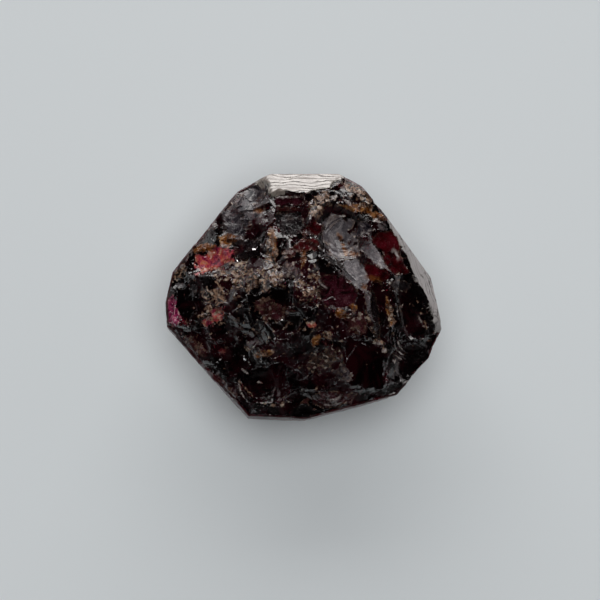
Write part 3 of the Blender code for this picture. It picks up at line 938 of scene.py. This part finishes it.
def addCloud(group, entry, distortion):
    place = group.nodes.new("ShaderNodeTexCoord")
    cloud = group.nodes.new("ShaderNodeTexNoise")
    cloud.inputs["Detail"].default_value = 5
    cloud.inputs["Roughness"].default_value = 0.62
    cloud.inputs["Distortion"].default_value = distortion
    group.links.new(place.outputs["Object"], cloud.inputs["Vector"])
    group.links.new(entry.outputs["Scale"], cloud.inputs["Scale"])
    return cloud.outputs["Fac"]


def cloudsGroup():  # soft clouds, finer with a larger Scale
    group, entry, leave = newGroup("clouds", {"Scale": 800.0}, ["Shade"])
    group.links.new(addCloud(group, entry, 0.8), leave.inputs["Shade"])
    return group


def webGroup():  # a ragged web of thin lines round darker gaps
    group, entry, leave = newGroup("web", {"Scale": 1300.0}, ["Shade"])
    nodes, links = group.nodes, group.links
    middle = addMath(nodes, links, "SUBTRACT", addCloud(group, entry, 1.0), 0.5)
    apart = addMath(nodes, links, "ABSOLUTE", middle)
    links.new(addMath(nodes, links, "MULTIPLY", apart, 4.0), leave.inputs["Shade"])
    return group


def grainsGroup():  # broken grains, each with its own shade
    group, entry, leave = newGroup("grains", {"Scale": 3000.0, "Warp": 0.0003}, ["Shade"])
    place = group.nodes.new("ShaderNodeTexCoord")
    warp = group.nodes.new("ShaderNodeTexNoise")
    warp.inputs["Scale"].default_value = 1600
    warp.inputs["Detail"].default_value = 3
    middle = group.nodes.new("ShaderNodeVectorMath")
    middle.operation = "SUBTRACT"
    middle.inputs[1].default_value = (0.5, 0.5, 0.5)
    push = group.nodes.new("ShaderNodeVectorMath")
    push.operation = "SCALE"
    moved = group.nodes.new("ShaderNodeVectorMath")
    cells = group.nodes.new("ShaderNodeTexVoronoi")
    split = group.nodes.new("ShaderNodeSeparateColor")
    group.links.new(place.outputs["Object"], warp.inputs["Vector"])
    group.links.new(warp.outputs["Color"], middle.inputs[0])
    group.links.new(middle.outputs[0], push.inputs[0])
    group.links.new(entry.outputs["Warp"], push.inputs["Scale"])
    group.links.new(place.outputs["Object"], moved.inputs[0])
    group.links.new(push.outputs[0], moved.inputs[1])
    group.links.new(moved.outputs[0], cells.inputs["Vector"])
    group.links.new(entry.outputs["Scale"], cells.inputs["Scale"])
    group.links.new(cells.outputs["Color"], split.inputs[0])
    group.links.new(split.outputs[0], leave.inputs["Shade"])
    return group


def linesGroup():  # growth lines that keep to one height
    group, entry, leave = newGroup("growth lines", {"Scale": 1150.0}, ["Line"])
    place = group.nodes.new("ShaderNodeTexCoord")
    flat = group.nodes.new("ShaderNodeVectorMath")
    flat.operation = "MULTIPLY"
    flat.inputs[1].default_value = (0.22, 0.22, 1.0)
    bands = group.nodes.new("ShaderNodeTexWave")
    bands.bands_direction = "Z"
    bands.inputs["Distortion"].default_value = 9.0
    bands.inputs["Detail"].default_value = 3
    bands.inputs["Detail Scale"].default_value = 1.6
    group.links.new(place.outputs["Object"], flat.inputs[0])
    group.links.new(flat.outputs[0], bands.inputs["Vector"])
    group.links.new(entry.outputs["Scale"], bands.inputs["Scale"])
    group.links.new(bands.outputs["Fac"], leave.inputs["Line"])
    return group


groups = {group.name: group for group in (cloudsGroup(), webGroup(), grainsGroup(), linesGroup())}


def addPattern(nodes, name, scale=None):
    node = nodes.new("ShaderNodeGroup")
    node.node_tree = groups[name]
    if scale:
        node.inputs["Scale"].default_value = scale
    return node.outputs[0]


def addDepth(nodes, links):  # the red that deepens with the way light goes through the stone
    inside = nodes.new("ShaderNodeVolumeAbsorption")
    inside.inputs["Color"].default_value = look["absorbed"]
    inside.inputs["Density"].default_value = look["density"]
    links.new(inside.outputs[0], nodes["Material Output"].inputs["Volume"])


def garnetMaterial():
    material, surface, nodes, links = newMaterial("garnet")
    surface.inputs["Transmission Weight"].default_value = look["clarity"]
    surface.inputs["Specular IOR Level"].default_value = look["shine"]
    smoke = addPattern(nodes, "clouds", look["smokeScale"])
    haze = addPattern(nodes, "clouds", look["hazeScale"])
    smoky = addRange(nodes, links, smoke, 0.38, 0.54, 0.0, 1.0)
    tint = addMix(nodes, links, smoky, look["tint"], look["smokyTint"])
    links.new(tint, surface.inputs["Base Color"])
    dull = addRange(nodes, links, haze, 0.44, 0.66, *look["glassRoughness"])
    links.new(dull, surface.inputs["Roughness"])
    chips = addPattern(nodes, "clouds", look["chipScale"])
    addBump(nodes, links, surface, chips, *look["chipRelief"])
    addDepth(nodes, links)
    return material


def girdleMaterial():  # frosted, so that light still gets in through the sides
    material, surface, nodes, links = newMaterial("girdle faces")
    surface.inputs["Transmission Weight"].default_value = look["girdleClarity"]
    surface.inputs["Specular IOR Level"].default_value = look["girdleShine"]
    lines = addPattern(nodes, "growth lines")
    clouds = addPattern(nodes, "clouds", look["girdleScale"])
    fine = addPattern(nodes, "clouds", look["dustScale"])
    shade = addRange(nodes, links, clouds, 0.42, 0.6, 0.0, 1.0)
    base = addMix(nodes, links, shade, look["girdleColour"], look["girdleShade"])
    dust = addRange(nodes, links, fine, 0.58, 0.68, 0.0, 0.5)
    base = addMix(nodes, links, dust, base, look["dustColour"])
    line = addRange(nodes, links, lines, 0.0, 0.3, 0.6, 0.0)
    base = addMix(nodes, links, line, base, look["lineColour"])
    links.new(base, surface.inputs["Base Color"])
    dull = addRange(nodes, links, clouds, 0.38, 0.62, *look["girdleRoughness"])
    links.new(dull, surface.inputs["Roughness"])
    relief = addMix(nodes, links, 0.5, fine, lines)
    addBump(nodes, links, surface, relief, *look["girdleRelief"])
    addDepth(nodes, links)
    return material


def crustAndPaintedSheenMaterial():
    material, surface, nodes, links = newMaterial("crust, stains and painted sheen")
    patterns = {
        "grains": addPattern(nodes, "grains"),
        "clouds": addPattern(nodes, "clouds", look["stainScale"]),
        "pools": addPattern(nodes, "clouds", look["poolScale"]),
        "web": addPattern(nodes, "web"),
    }
    # Besides stains, these shades hold the painted sheen and painted glints.
    base = None
    for name, (pattern, stops) in shades.items():
        shade = addRamp(nodes, links, patterns[pattern], stops, pattern != "grains")
        base = addMix(nodes, links, addMark(nodes, name), base, shade) if base else shade
    tan = addMark(nodes, "tan")
    pale = addRange(nodes, links, patterns["grains"], 0.9, 0.92, 0.0, 0.75)
    pale = addMath(nodes, links, "MULTIPLY", pale, tan)
    base = addMix(nodes, links, pale, base, look["paleGrain"])
    links.new(base, surface.inputs["Base Color"])
    gritty = addMath(nodes, links, "MAXIMUM", tan, addMark(nodes, "specks"))
    fine = addPattern(nodes, "clouds", look["polishScale"])
    dull = addRange(nodes, links, fine, 0.4, 0.62, *look["stainRoughness"])
    dull = addMix(nodes, links, gritty, dull, look["gritRoughness"])
    links.new(dull, surface.inputs["Roughness"])
    relief = addMix(nodes, links, gritty, fine, patterns["web"])
    addBump(nodes, links, surface, relief, *look["crustRelief"])
    return material


def bevelMaterial():  # a glossy skin that catches the window, pale partly of its own and partly by painted glare, broken by dark growth lines
    material, surface, nodes, links = newMaterial("bevels")
    lines = addPattern(nodes, "growth lines")
    clouds = addPattern(nodes, "clouds", look["bevelScale"])
    mottling = addRange(nodes, links, clouds, 0.45, 0.62, 0.0, 0.6)
    base = addMix(nodes, links, mottling, look["bevelSkinAndPaintedGlare"], look["bevelShade"])
    base = addMix(nodes, links, addMark(nodes, "east strip"), base, look["stripSkinAndPaintedGlare"])
    strength = addRange(nodes, links, clouds, 0.42, 0.56, 0.95, 0.2)
    line = addRange(nodes, links, lines, 0.0, 0.26, 0.95, 0.0)
    line = addMath(nodes, links, "MULTIPLY", line, strength)
    base = addMix(nodes, links, line, base, look["lineColour"])
    links.new(base, surface.inputs["Base Color"])
    dull = addRange(nodes, links, clouds, 0.35, 0.65, *look["bevelRoughness"])
    links.new(dull, surface.inputs["Roughness"])
    links.new(addRange(nodes, links, line, 0.0, 0.6, 1.0, 0.0), surface.inputs["Coat Weight"])
    surface.inputs["Coat Roughness"].default_value = look["skinRoughness"]
    surface.inputs["Coat IOR"].default_value = look["skinShine"]
    relief = addRange(nodes, links, lines, 0.0, 0.3, 0.0, 1.0)
    addBump(nodes, links, surface, relief, *look["bevelRelief"])
    return material


def makeStone():
    body = copyOfCad()
    for scoop in scoops.values():
        cutScoop(body, *scoop)
    print("hollows are cut")
    applyModifier(body, "REMESH", mode="VOXEL", voxel_size=stone["voxel"])
    print("the stone has", len(body.data.vertices), "points")
    shapeStone(body)
    applyModifier(body, "TRIANGULATE")
    triangles = len(body.data.polygons)
    if triangles > stone["mostTriangles"]:
        applyModifier(body, "DECIMATE", ratio=stone["mostTriangles"] / triangles)
    body.data.materials.clear()
    for material in (garnetMaterial(), crustAndPaintedSheenMaterial(), bevelMaterial(), girdleMaterial()):
        body.data.materials.append(material)
    markStone(body)
    body.data.transform(Matrix.Scale(mm, 4))
    makeActive(body)
    bpy.ops.object.shade_smooth_by_angle(angle=math.radians(stone["sharpAngle"]))
    print("the stone is shaped")
    return body


garnet = makeStone()
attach(garnet, "root")
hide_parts("garnet_crystal")
